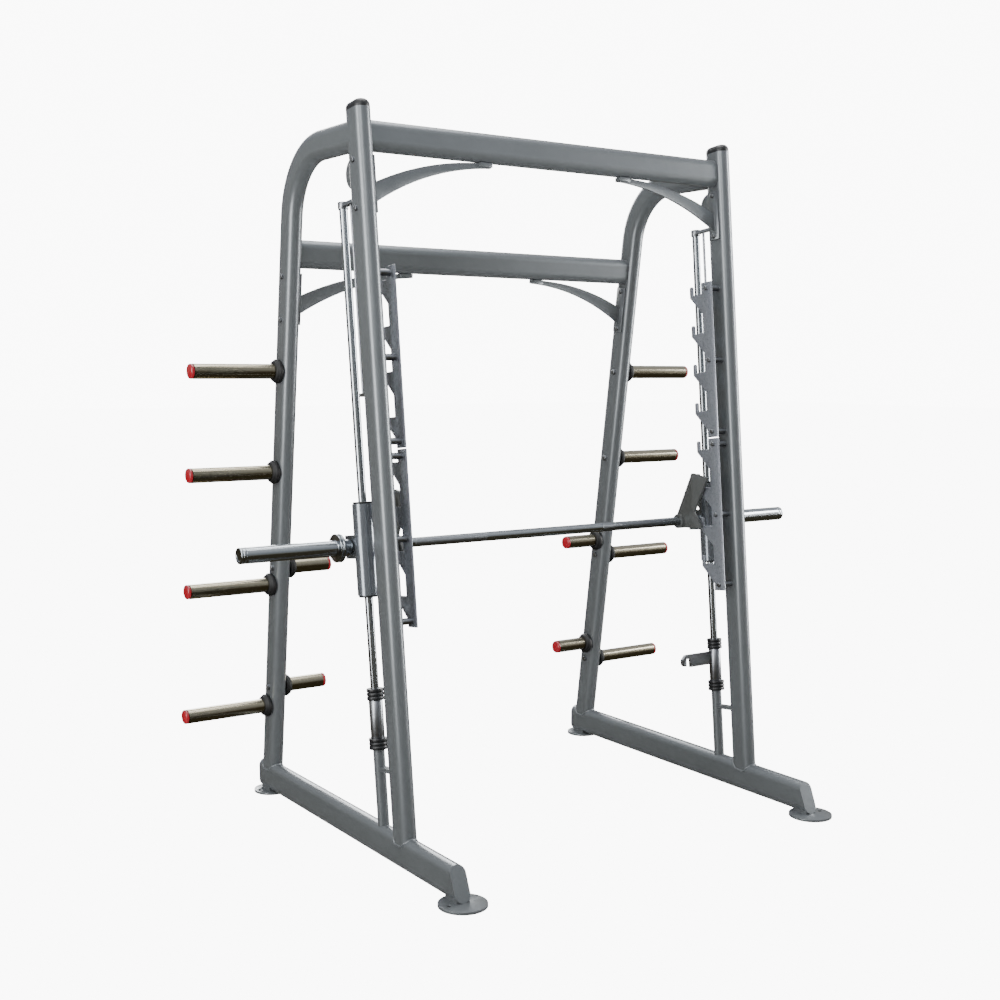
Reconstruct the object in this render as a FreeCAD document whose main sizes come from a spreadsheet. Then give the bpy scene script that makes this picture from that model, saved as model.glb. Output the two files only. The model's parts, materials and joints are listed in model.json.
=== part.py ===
import FreeCAD, Part
import math
import os
import re

import Sketcher
from FreeCAD import Placement, Rotation, Vector

# Smith machine: two leaning side frames of flat-oval tube, joined by two crossbeams, carry a barbell
# on vertical guide rods. +X runs along the bar, +Y to the rear and +Z up, in millimetres.
# "up" is measured along a leaning upright from the top of its floor beam, "back" square to it.

doc = FreeCAD.newDocument("SmithMachine")
sheet = doc.addObject("Spreadsheet::Sheet", "Sizes")

SIZES = {
    # frame
    "frame_spacing": 1383,
    "tube_width": 52,
    "tube_depth": 88,
    "tube_wall": 3,
    "beam_depth": 101,
    "foot_thickness": 8.2,
    "front_lean": 6.43,
    "rear_lean": 7.38,
    "foot_span": 910.3,
    "upright_length": 2097,
    "cap_height": 24,
    "cap_round": 18,
    "tie_rise": 2013.8,
    "tie_bend": 215,
    "rear_cross_rise": 1713.8,
    # floor beam ends and feet
    "beam_front": 325,
    "beam_rear": 54,
    "nose_slant": 22.6,
    "end_plate": 6,
    "front_foot_radius": 71,
    "rear_foot_radius": 60,
    "front_overhang": 317,
    "rear_overhang": 16.7,
    "saddle_width": 44,
    "saddle_length": 60,
    "saddle_rise": 12,
    "saddle_setback": 28,
    "floor_bolt_reach": 45,
    "floor_bolt_radius": 6,
    # arch brackets
    "arch_thickness": 8,
    "arch_low_radius": 859,
    "arch_low_inset": 491.5,
    "arch_low_drop": 13,
    "arch_high_radius": 966,
    "arch_high_inset": 431.5,
    "arch_high_drop": 1,
    "arch_tip_inset": 444.5,
    "arch_tab": 44,
    "flange_width": 47,
    "flange_length": 161,
    "flange_drop": 14,
    "flange_thickness": 6,
    "flange_bolt_inset": 13,
    "bolt_radius": 9,
    "bolt_height": 6,
    # corner gusset
    "gusset_radius": 45,
    "gusset_thickness": 10,
    "gusset_drop": 54,
    # guide rods
    "rod_back": 125.7,
    "rod_radius": 12.5,
    "rod_start": 25,
    "rod_top": 1843.5,
    "rod_cap_wall": 3,
    "rod_cap_height": 20,
    "rod_cap_depth": 14,
    "cap_arm_width": 20,
    "cap_arm_height": 10,
    "support_wall": 5,
    "support_top": 244.2,
    "strap_width": 25,
    "strap_height": 13,
    "strap_up": 185.4,
    "tie_rod_radius": 4.5,
    "tie_rod_back": 82.5,
    "tie_rod_offset": 3,
    "tie_rod_low": 1300,
    # racks
    "rack_inset": 74.5,
    "rack_thickness": 8,
    "rack_front": 21,
    "rack_back": 24,
    "rack_tip_up": 1657.7,
    "rack_head": 6.5,
    "rack_gap": 3,
    "hook_pitch": 132,
    "hook_drop": 30,
    "hook_side": 38,
    "hook_root": 99,
    "finger_inner": 70,
    "finger_outer": 84,
    "tip_bevel": 4,
    "spacer_radius": 10,
    "rack_bolt_inset": 20,
    "rack_bolt_back": 2,
    "rack_bolt_radius": 9,
    "rack_bolt_height": 6,
    # storage horns
    "horn_radius": 24,
    "horn_wall": 3,
    "horn_overhang": 332.5,
    "peg_inset": 185.5,
    "horn_top": 1456.9,
    "horn_upper": 1130.5,
    "horn_middle": 750.5,
    "horn_bottom": 321.7,
    "peg_upper": 807.7,
    "peg_lower": 387.4,
    "horn_cap_length": 14,
    "horn_cap_radius": 17,
    "collar_radius": 39,
    "collar_length": 22,
    "horn_bolt_radius": 11,
    "horn_bolt_height": 8,
    # carriage
    "bar_back": 164.6,
    "bar_radius": 15,
    "carriage_below": 151,
    "carriage_above": 134,
    "housing_wall": 13,
    "bearing_wall": 6.5,
    "bearing_length": 60,
    "seal_thickness": 6,
    "seal_radius": 29,
    "seal_gap": 0.4,
    "block_width": 60,
    "block_back": 195,
    "block_height": 70,
    "rib_thickness": 8,
    "rib_depth": 24,
    "rib_top_inset": 8,
    "rib_start": 30,
    "rib_foot": 22,
    "bush_wall": 3,
    "fit_gap": 0.05,
    # bar and its sleeves
    "bar_overhang": 389.3,
    "sleeve_radius": 24,
    "sleeve_bush_wall": 5,
    "stop_overhang": 81.5,
    "neck_overhang": 32.5,
    "flange_radius": 43,
    "flange_disc": 18,
    "neck_radius": 24.5,
    "sleeve_bush_length": 40,
    "sleeve_cap": 8,
    "bar_end_gap": 3,
    # hook arms
    "arm_inset": 95,
    "arm_thickness": 10,
    "arm_root_back": 22,
    "arm_root_up": 11,
    "arm_head_front": 148,
    "arm_head_up": 146,
    "arm_waist_front": 72,
    "arm_waist_up": 30,
    "arm_toe_front": 106,
    "arm_toe_length": 6,
    "arm_toe_drop": 26,
    "arm_instep": 60,
    "hub_radius": 25,
    "hub_length": 32,
    "pin_radius": 5.5,
    "pin_behind": 7,
    "latch_hook": 5,
    "pin_over_tip": 14.3,
    "arm_rise": 156.5,
    "pin_past_rack": 4,
    "pin_boss_radius": 8.5,
    # bar stoppers
    "stopper_gap": 0.2,
    "stopper_fit": 0.1,
    "stopper_low_ring": 34,
    "stopper_sleeve": 116,
    "stopper_high_ring": 35,
    "liner_wall": 5.5,
    "low_ring_radius": 28.5,
    "high_ring_radius": 26,
    "stopper_radius": 21,
    "turning_gap": 0.3,
    "catch_low": 95.6,
    "catch_height": 45,
    "catch_thickness": 12,
    "catch_reach": 158,
    "catch_slot_start": 120,
    "catch_slot_end": 139,
    "catch_slot_depth": 30,
    "catch_tip_rise": 5,
    "catch_bevel": 8,
    "catch_turn_left": 58,
    "catch_turn_right": 0,
}

for row, (alias, number) in enumerate(SIZES.items(), start=1):
    sheet.set(f"A{row}", alias)
    sheet.set(f"B{row}", str(number))
    sheet.setAlias(f"B{row}", alias)
doc.recompute()

BEAM_TOP = "(foot_thickness + beam_depth)"
FRONT_Y = ("((front_foot_radius + front_overhang - foot_span"
           " - rear_overhang - rear_foot_radius) / 2)")
REAR_Y = f"({FRONT_Y} + foot_span)"

# Each leaning frame of reference: its foot's Y and Z, its angle, and which way it leans going up.
FRAMES = {
    "front": (FRONT_Y, BEAM_TOP, "front_lean", 1),
    "rear": (REAR_Y, BEAM_TOP, "rear_lean", -1),
    "nose": (f"({FRONT_Y} - beam_front)", "foot_thickness", "nose_slant", 1),
}
SIDES = {"left": -1, "right": 1}


# Sizes that follow from others, so that what fits together stays together.
TIED = {
    "bar_reach": "(frame_spacing / 2 + bar_overhang)",
    "sleeve_start": "(frame_spacing / 2 + stop_overhang)",
    "flange_start": "(frame_spacing / 2 + neck_overhang)",
    "horn_reach": "(frame_spacing / 2 + horn_overhang)",
    "peg_reach": "(frame_spacing / 2 - peg_inset)",
    "arch_low_centre": "(frame_spacing / 2 - arch_low_inset)",
    "arch_high_centre": "(frame_spacing / 2 - arch_high_inset)",
    "arch_tip": "(frame_spacing / 2 - arch_tip_inset)",
    "rod_cap_radius": "(rod_radius + rod_cap_wall)",
    "support_radius": "(rod_radius + support_wall)",
    "bearing_radius": "(rod_radius + bearing_wall)",
    "housing_radius": "(bearing_radius + housing_wall)",
    "liner_radius": "(rod_radius + liner_wall)",
    "bush_radius": "(bar_radius + bush_wall)",
    "sleeve_bore": "(bar_radius + sleeve_bush_wall)",
    "pin_back": "(finger_outer + pin_behind)",
    "pin_up": "(rack_tip_up - latch_hook * hook_pitch + pin_over_tip)",
    "bar_up": "(pin_up - arm_rise)",
}


def value(alias):
    """The number that the sheet holds under this alias."""
    return float(getattr(sheet, alias))


def bound(text):
    """A formula in plain size names, with each one pointed at its cell of the sheet."""
    def point(word):
        name = word.group()
        if name in TIED:
            return bound(TIED[name])
        return f"Sizes.{name}" if name in SIZES else name
    return re.sub(r"[a-z_]+", point, str(text))


def bind(obj, **formulas):
    """Bind properties of an object to formulas."""
    for name, formula in formulas.items():
        obj.setExpression(name, bound(formula))
    return obj


def place(obj, frame, x, back, up, turn=None):
    """Put an object at a point of a frame, standing along it, or turned to lie along X or back."""
    if frame == "floor":
        y, z = back, up
        lean, way = "0", 1
    else:
        foot_y, foot_z, lean, way = FRAMES[frame]
        y = f"{foot_y} + ({back}) * cos({lean}) + {way} * ({up}) * sin({lean})"
        z = f"{foot_z} - {way} * ({back}) * sin({lean}) + ({up}) * cos({lean})"
    if turn == "x":
        obj.Placement = Placement(Vector(), Rotation(Vector(0, 1, 0), 90))
    elif turn == "back":
        obj.Placement = Placement(Vector(), Rotation(Vector(-1, 0, 0), 90))
        obj.setExpression("Placement.Rotation.Angle", bound(f"90 + {way} * {lean}"))
    elif frame != "floor":
        obj.Placement = Placement(Vector(), Rotation(Vector(-way, 0, 0), value(lean)))
        obj.setExpression("Placement.Rotation.Angle", bound(lean))
    for axis, formula in zip("xyz", (x, y, z)):
        obj.setExpression(f"Placement.Base.{axis}", bound(formula))
    return obj


def sketch_on(body, role):
    """A new sketch on one of a body's own origin planes."""
    sketch = body.newObject("Sketcher::SketchObject", f"{body.Name}_outline")
    plane = [item for item in body.Origin.OriginFeatures if item.Role == role][0]
    sketch.AttachmentSupport = [(plane, "")]
    sketch.MapMode = "FlatFace"
    return sketch


def fix(sketch, kind, *where, formula):
    """Add one sketch dimension and bind it to a formula."""
    index = sketch.addConstraint(Sketcher.Constraint(kind, *where, 1.0))
    sketch.setExpression(f"Constraints[{index}]", bound(formula))


def pad_both_ways(body, sketch, length):
    """Extrude a sketch equally to both sides of its plane."""
    pad = body.newObject("PartDesign::Pad", f"{body.Name}_pad")
    pad.Profile = sketch
    pad.SideType = "Symmetric"
    bind(pad, Length=length)
    return pad


def draw_oval(sketch, width, depth):
    """A flat oval: two half rounds joined by straight flanks, its depth along the sketch's Y."""
    half = 20.0
    top = sketch.addGeometry(Part.ArcOfCircle(Part.Circle(Vector(0, half, 0), Vector(0, 0, 1), half),
                                              0, math.pi))
    low = sketch.addGeometry(Part.ArcOfCircle(Part.Circle(Vector(0, -half, 0), Vector(0, 0, 1), half),
                                              math.pi, 2 * math.pi))
    left = sketch.addGeometry(Part.LineSegment(Vector(-half, half, 0), Vector(-half, -half, 0)))
    right = sketch.addGeometry(Part.LineSegment(Vector(half, -half, 0), Vector(half, half, 0)))
    rule = Sketcher.Constraint
    sketch.addConstraint([rule("Tangent", top, 2, left, 1), rule("Tangent", left, 2, low, 1),
                          rule("Tangent", low, 2, right, 1), rule("Tangent", right, 2, top, 1)])
    sketch.addConstraint([rule("Vertical", left), rule("PointOnObject", top, 3, -2),
                          rule("Symmetric", top, 3, low, 3, -1, 1)])
    fix(sketch, "Radius", top, formula=f"({width}) / 2")
    fix(sketch, "DistanceY", -1, 1, top, 3, formula=f"(({depth}) - ({width})) / 2")


def oval_bar(name, role, width, depth, length):
    """A solid flat-oval bar centred on its body's origin."""
    body = doc.addObject("PartDesign::Body", name)
    sketch = sketch_on(body, role)
    draw_oval(sketch, width, depth)
    pad_both_ways(body, sketch, length)
    return body


def outline_plate(name, role, points, thickness, turned=None):
    """A flat plate with a straight-sided outline, centred on its plane, which may be turned about Z."""
    body = doc.addObject("PartDesign::Body", name)
    sketch = sketch_on(body, role)
    total = len(points)
    start = [Vector(100 * math.cos(2 * math.pi * i / total), 100 * math.sin(2 * math.pi * i / total), 0)
             for i in range(total)]
    for i in range(total):
        sketch.addGeometry(Part.LineSegment(start[i], start[(i + 1) % total]))
    for i in range(total):
        sketch.addConstraint(Sketcher.Constraint("Coincident", i, 2, (i + 1) % total, 1))
    for i, (across, upward) in enumerate(points):
        fix(sketch, "DistanceX", -1, 1, i, 1, formula=across)
        fix(sketch, "DistanceY", -1, 1, i, 1, formula=upward)
    if turned:
        sketch.AttachmentOffset = Placement(Vector(), Rotation(Vector(0, 1, 0), value(turned)))
        sketch.setExpression("AttachmentOffset.Rotation.Angle", bound(turned))
    pad_both_ways(body, sketch, thickness)
    return body


def post(name, frame, x, back, up, radius, height):
    """A round bar that stands along a frame, from a point upward."""
    bar = bind(doc.addObject("Part::Cylinder", name), Radius=radius, Height=height)
    return place(bar, frame, x, back, up)


def cross(name, frame, x, back, up, radius, length):
    """A round bar that lies along X, centred on a point."""
    bar = bind(doc.addObject("Part::Cylinder", name), Radius=radius, Height=length)
    return place(bar, frame, f"{x} - ({length}) / 2", back, up, turn="x")


def block(name, frame, x, back, up, width, depth, height):
    """A box that stands along a frame, centred on a point."""
    box = bind(doc.addObject("Part::Box", name), Length=width, Width=depth, Height=height)
    return place(box, frame, f"{x} - ({width}) / 2", f"{back} - ({depth}) / 2", f"{up} - ({height}) / 2")


def fuse(name, *shapes):
    """One piece out of several overlapping shapes."""
    whole = doc.addObject("Part::MultiFuse", name)
    whole.Shapes = list(shapes)
    return whole


def cut(name, base, *tools):
    """A shape with others cut away from it."""
    for number, tool in enumerate(tools):
        last = number == len(tools) - 1
        result = doc.addObject("Part::Cut", name if last else f"{name}_cut_{number}")
        result.Base = base
        result.Tool = tool
        base = result
    return base


def common(name, first, second):
    """The part that two shapes share."""
    result = doc.addObject("Part::Common", name)
    result.Base = first
    result.Tool = second
    return result


def group(name, shapes):
    """Several separate pieces that share one node."""
    result = doc.addObject("Part::Compound", name)
    result.Links = list(shapes)
    return result


nodes = []


def node(obj):
    """Mark an object as a sub-part, named as it is labelled."""
    nodes.append(obj)
    return obj


def side_x(side, reach="frame_spacing / 2"):
    """An X position on one side of the machine."""
    return f"{SIDES[side]} * ({reach})"


INNER = "(frame_spacing / 2 - tube_width / 2)"
OUTER = "(frame_spacing / 2 + tube_width / 2)"
RACK = "(frame_spacing / 2 - rack_inset)"
FRONT_CROSS_UP = "(tie_rise / cos(front_lean))"
REAR_CROSS_UP = "(rear_cross_rise / cos(rear_lean))"


def add_floor_beam(side):
    """A flat-oval beam on edge with a slanted nose plate, a rear plate and two round feet."""
    x = side_x(side)
    start = f"({FRONT_Y} - beam_front - end_plate)"
    end = f"({REAR_Y} + beam_rear)"
    centre = f"({start} + {end}) / 2"
    length = f"{end} - {start}"
    height = "foot_thickness + beam_depth / 2"
    outer = oval_bar(f"beam_outer_{side}", "XZ_Plane", "tube_width", "beam_depth", length)
    inner = oval_bar(f"beam_inner_{side}", "XZ_Plane", "tube_width - 2 * tube_wall",
                     "beam_depth - 2 * tube_wall", length)
    place(outer, "floor", x, centre, height)
    place(inner, "floor", x, centre, height)
    ahead = block(f"beam_ahead_{side}", "nose", x, "end_plate - beam_depth", "beam_depth / 2",
                  "2 * tube_width", "2 * beam_depth", "3 * beam_depth")
    slab = block(f"nose_slab_{side}", "nose", x, "end_plate / 2", "beam_depth / 2",
                 "2 * tube_width", "end_plate", "3 * beam_depth")
    node(cut(f"floor_beam_{side}", outer, inner, ahead))
    nose = common(f"nose_plate_{side}", outer, slab)
    tail = oval_bar(f"tail_plate_{side}", "XZ_Plane", "tube_width", "beam_depth", "end_plate")
    place(tail, "floor", x, f"{end} + end_plate / 2", height)
    return outer, nose, tail


def add_foot(name, side, y, radius, setback, *beam):
    """A round floor plate with a bolt hole outboard of the beam and a saddle set back under the beam."""
    x = side_x(side)
    disc = post(f"{name}_disc", "floor", x, y, "0", radius, "foot_thickness")
    saddle = block(f"{name}_saddle", "floor", x, f"{y} + {setback}", "foot_thickness + saddle_rise / 2 - 1",
                   "saddle_width", "saddle_length", "saddle_rise + 2")
    hole = post(f"{name}_hole", "floor", side_x(side, "frame_spacing / 2 + floor_bolt_reach"), y, "-1",
                "floor_bolt_radius", "foot_thickness + 2")
    plate = fuse(f"{name}_plate", disc, saddle)
    node(cut(name, plate, *beam, hole))


def add_upright(side, beam):
    """The leaning front upright, coped onto the floor beam, with a domed cap."""
    x = side_x(side)
    sink = "beam_depth / 2"
    height = f"upright_length + {sink}"
    middle = f"(upright_length - {sink}) / 2"
    outer = oval_bar(f"upright_outer_{side}", "XY_Plane", "tube_width", "tube_depth", height)
    inner = oval_bar(f"upright_inner_{side}", "XY_Plane", "tube_width - 2 * tube_wall",
                     "tube_depth - 2 * tube_wall", height)
    place(outer, "front", x, "0", middle)
    place(inner, "front", x, "0", middle)
    node(cut(f"front_upright_{side}", outer, inner, beam))
    cap = oval_bar(f"cap_{side}", "XY_Plane", "tube_width", "tube_depth", "cap_height")
    place(cap, "front", x, "0", "upright_length + cap_height / 2")
    doc.recompute()
    pad = cap.Tip
    top = max(range(len(pad.Shape.Faces)), key=lambda i: pad.Shape.Faces[i].CenterOfMass.z)
    dome = cap.newObject("PartDesign::Fillet", f"cap_dome_{side}")
    dome.Base = (pad, [f"Face{top + 1}"])
    bind(dome, Radius="cap_round")
    return outer, cap


def pipe_along(name, side, width, depth):
    """A flat-oval bar that runs up the rear, round one bend and level to the front upright."""
    body = doc.addObject("PartDesign::Body", name)
    spine = sketch_on(body, "YZ_Plane")
    lean = math.radians(value("rear_lean"))
    bend = value("tie_bend")
    corner = value("tie_rise") / math.cos(lean)
    ease = bend * math.tan((math.pi / 2 - lean) / 2)
    start = Vector(0, -value("beam_depth") / 2, 0)
    turn_in = Vector(0, corner - ease, 0)
    turn_out = Vector(-ease * math.cos(lean), corner + ease * math.sin(lean), 0)
    centre = Vector(-bend, corner - ease, 0)
    level = (value("foot_span") - value("tie_rise") * (math.tan(lean)
             + math.tan(math.radians(value("front_lean")))))
    end = Vector(-level * math.cos(lean), corner + level * math.sin(lean), 0)
    run = spine.addGeometry(Part.LineSegment(start, turn_in))
    arc = spine.addGeometry(Part.ArcOfCircle(Part.Circle(centre, Vector(0, 0, 1), bend), 0,
                                             math.pi / 2 - lean))
    tie = spine.addGeometry(Part.LineSegment(turn_out, end))
    rule = Sketcher.Constraint
    spine.addConstraint([rule("Tangent", run, 2, arc, 1), rule("Tangent", arc, 2, tie, 1),
                         rule("PointOnObject", run, 1, -2), rule("PointOnObject", run, 2, -2)])
    reach = "(foot_span - tie_rise * (tan(rear_lean) + tan(front_lean)))"
    fix(spine, "DistanceY", run, 1, -1, 1, formula="beam_depth / 2")
    fix(spine, "DistanceY", -1, 1, run, 2,
        formula="tie_rise / cos(rear_lean) - tie_bend * tan(45 - rear_lean / 2)")
    fix(spine, "Radius", arc, formula="tie_bend")
    fix(spine, "DistanceX", tie, 2, -1, 1, formula=f"{reach} * cos(rear_lean)")
    fix(spine, "DistanceY", -1, 1, tie, 2,
        formula=f"tie_rise / cos(rear_lean) + {reach} * sin(rear_lean)")
    profile = sketch_on(body, "XY_Plane")
    draw_oval(profile, width, depth)
    profile.AttachmentOffset = Placement(Vector(0, 0, -value("beam_depth") / 2), Rotation())
    profile.setExpression("AttachmentOffset.Base.z", bound("-beam_depth / 2"))
    pipe = body.newObject("PartDesign::AdditivePipe", f"{name}_pipe")
    pipe.Profile = profile
    pipe.Spine = spine
    return place(body, "rear", side_x(side), "0", "0")


def add_rear_upright(side, beam, upright):
    """The rear upright with its bend and level run, coped onto the beam and the front upright."""
    outer = pipe_along(f"rear_outer_{side}", side, "tube_width", "tube_depth")
    inner = pipe_along(f"rear_inner_{side}", side, "tube_width - 2 * tube_wall",
                       "tube_depth - 2 * tube_wall")
    node(cut(f"rear_upright_{side}", outer, inner, beam, upright))
    return outer


def add_crossbeam(name, frame, up, uprights):
    """A flat-oval beam on edge between two uprights."""
    outer = oval_bar(f"{name}_outer", "YZ_Plane", "tube_width", "tube_depth", "frame_spacing")
    inner = oval_bar(f"{name}_inner", "YZ_Plane", "tube_width - 2 * tube_wall",
                     "tube_depth - 2 * tube_wall", "frame_spacing")
    place(outer, frame, "0", "0", up)
    place(inner, frame, "0", "0", up)
    node(cut(name, outer, inner, *uprights))


def add_arch(name, frame, side, cross_up, upright):
    """A curved plate under a crossbeam, from its tab to the flange on the upright's inner face."""
    under = f"({cross_up} - tube_depth / 2)"
    web = block(f"{name}_web", frame, side_x(side, f"(arch_tip + {INNER}) / 2"), "0",
                f"{under} - tube_depth * 1.5", f"{INNER} - arch_tip", "arch_thickness", "tube_depth * 3")
    high = bind(doc.addObject("Part::Cylinder", f"{name}_high"), Radius="arch_high_radius",
                Height="3 * arch_thickness")
    place(high, frame, side_x(side, "arch_high_centre"), "-1.5 * arch_thickness",
          f"{under} - arch_high_drop - arch_high_radius", turn="back")
    low = bind(doc.addObject("Part::Cylinder", f"{name}_low"), Radius="arch_low_radius",
               Height="3 * arch_thickness")
    place(low, frame, side_x(side, "arch_low_centre"), "-1.5 * arch_thickness",
          f"{under} - arch_low_drop - arch_low_radius", turn="back")
    curve = cut(f"{name}_curve", common(f"{name}_blank", web, high), low)
    tab = block(f"{name}_tab", frame, side_x(side, "arch_tip + arch_tab / 2"), "0",
                f"{under} - arch_low_drop / 2", "arch_tab", "arch_thickness * 3", "arch_low_drop")
    flange = block(f"{name}_flange", frame, side_x(side, f"{INNER} - flange_thickness / 2"), "0",
                   f"{under} - flange_drop - flange_length / 2", "flange_thickness", "flange_width",
                   "flange_length")
    node(cut(name, fuse(f"{name}_joined", curve, tab, flange), upright))
    bolts = []
    for end in ("flange_bolt_inset", "flange_length - flange_bolt_inset"):
        for reach in (f"{INNER} - flange_thickness - bolt_height / 2", f"{OUTER} + bolt_height / 2"):
            bolts.append(cross(f"{name}_bolt_{len(bolts)}", frame, side_x(side, reach), "0",
                               f"{under} - flange_drop - ({end})", "bolt_radius", "bolt_height"))
    return bolts


def add_guide_rod(side, beam, upright):
    """A guide rod in its support tube, its top cap and strap, and the slim tie rod beside it."""
    x = side_x(side)
    rod = post(f"guide_rod_{side}", "front", x, "rod_back", "rod_start", "rod_radius",
               "rod_top + rod_cap_depth - rod_start")
    node(rod)
    sleeve = post(f"support_blank_{side}", "front", x, "rod_back", "0", "support_radius", "support_top")
    node(cut(f"support_tube_{side}", sleeve, rod, beam))
    strap = block(f"strap_blank_{side}", "front", x, "rod_back / 2", "strap_up", "strap_width",
                  "rod_back", "strap_height")
    strap = cut(f"strap_{side}", strap, upright, sleeve)
    cap = post(f"rod_cap_blank_{side}", "front", x, "rod_back", "rod_top", "rod_cap_radius",
               "rod_cap_height")
    arm = block(f"rod_cap_arm_{side}", "front", x, "rod_back / 2", "rod_top + rod_cap_height / 2",
                "cap_arm_width", "rod_back", "cap_arm_height")
    node(cut(f"rod_cap_{side}", fuse(f"rod_cap_joined_{side}", cap, arm), rod, upright))
    slim_x = side_x(side, "frame_spacing / 2 - tie_rod_offset")
    slim = post(f"tie_rod_bar_{side}", "front", slim_x, "tie_rod_back", "tie_rod_low", "tie_rod_radius",
                "rod_top + rod_cap_height / 2 - cap_arm_height / 2 - tie_rod_low")
    lug = block(f"tie_rod_lug_{side}", "front", slim_x, "tie_rod_back / 2 + tie_rod_radius",
                "tie_rod_low", "cap_arm_width", "tie_rod_back", "cap_arm_height")
    tie = cut(f"tie_rod_{side}", fuse(f"tie_rod_joined_{side}", slim, lug), upright)
    return strap, tie


def rack_points():
    """The outline of a rack plate, from its top: a strip with four upturned hooks on its rear edge."""
    points = [("-rack_front", "rack_head"), ("rack_back", "rack_head")]
    for hook in range(4):
        tip = f"-{hook} * hook_pitch"
        points += [("rack_back", f"{tip} - hook_drop"), ("finger_inner", f"{tip} - hook_drop"),
                   ("finger_inner", f"{tip} - tip_bevel"), ("finger_inner + tip_bevel", tip),
                   ("finger_outer - tip_bevel", tip), ("finger_outer", f"{tip} - tip_bevel"),
                   ("finger_outer", f"{tip} - hook_side"), ("rack_back", f"{tip} - hook_root")]
    foot = "rack_head - 4 * hook_pitch + rack_gap"
    return points + [("rack_back", foot), ("-rack_front", foot)]


def add_rack(side):
    """Two rack plates on one upright, with the spacers and bolts that hold them."""
    spacers = []
    bolts = []
    for level, steps in (("upper", 0), ("lower", 4)):
        plate = outline_plate(f"rack_{level}_{side}", "YZ_Plane", rack_points(), "rack_thickness")
        top = f"rack_tip_up - {steps} * hook_pitch"
        node(place(plate, "front", side_x(side, RACK), "0", top))
        length = "(4 * hook_pitch - rack_gap)"
        for drop in ("rack_bolt_inset", f"{length} / 2", f"{length} - rack_bolt_inset"):
            up = f"{top} + rack_head - ({drop})"
            outer_face = f"({RACK} + rack_thickness / 2)"
            inner_face = f"({RACK} - rack_thickness / 2)"
            number = len(bolts)
            spacers.append(cross(f"spacer_{side}_{number}", "front",
                                 side_x(side, f"({outer_face} + {INNER}) / 2"), "rack_bolt_back", up,
                                 "spacer_radius", f"{INNER} - {outer_face}"))
            bolts.append(cross(f"rack_bolt_{side}_{number}", "front",
                               side_x(side, f"{inner_face} - rack_bolt_height / 2"), "rack_bolt_back",
                               up, "rack_bolt_radius", "rack_bolt_height"))
    return spacers, bolts


def add_horns():
    """Plate storage horns: tubes, end caps, rubber collars and the bolt heads behind them."""
    rows = [(height, OUTER, "horn_reach", 1, INNER)
            for height in ("horn_top", "horn_upper", "horn_middle", "horn_bottom")]
    rows += [(height, INNER, "peg_reach", -1, OUTER) for height in ("peg_upper", "peg_lower")]
    tubes, bores, caps, collars, bolts = [], [], [], [], []
    for side in SIDES:
        for number, (height, face, reach, way, far_face) in enumerate(rows):
            name = f"{side}_{number}"
            up = f"({height} - {BEAM_TOP}) / cos(rear_lean)"
            cap_base = f"({reach} - {way} * horn_cap_length)"
            collar_face = f"({face} + {way} * collar_length)"
            middle = side_x(side, f"({collar_face} + {cap_base}) / 2")
            length = f"{way} * ({cap_base} - {collar_face})"
            tubes.append(cross(f"horn_{name}", "rear", middle, "0", up, "horn_radius", length))
            bores.append(cross(f"horn_bore_{name}", "rear", middle, "0", up, "horn_radius - horn_wall",
                               length))
            cap = bind(doc.addObject("Part::Cone", f"horn_cap_{name}"), Radius1="horn_radius",
                       Radius2="horn_cap_radius", Height="horn_cap_length")
            place(cap, "rear", side_x(side, cap_base), "0", up, turn="x")
            if SIDES[side] * way < 0:
                cap.Placement.Rotation = Rotation(Vector(0, 1, 0), -90)
            caps.append(cap)
            collars.append(cross(f"collar_{name}", "rear",
                                 side_x(side, f"{face} + {way} * collar_length / 2"), "0", up,
                                 "collar_radius", "collar_length"))
            bolts.append(cross(f"horn_bolt_{name}", "rear",
                               side_x(side, f"{far_face} - {way} * horn_bolt_height / 2"), "0", up,
                               "horn_bolt_radius", "horn_bolt_height"))
    node(cut("horns", group("horn_blanks", tubes), group("horn_bores", bores)))
    node(group("horn_caps", caps))
    node(group("horn_collars", collars))
    node(group("horn_bolts", bolts))


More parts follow.
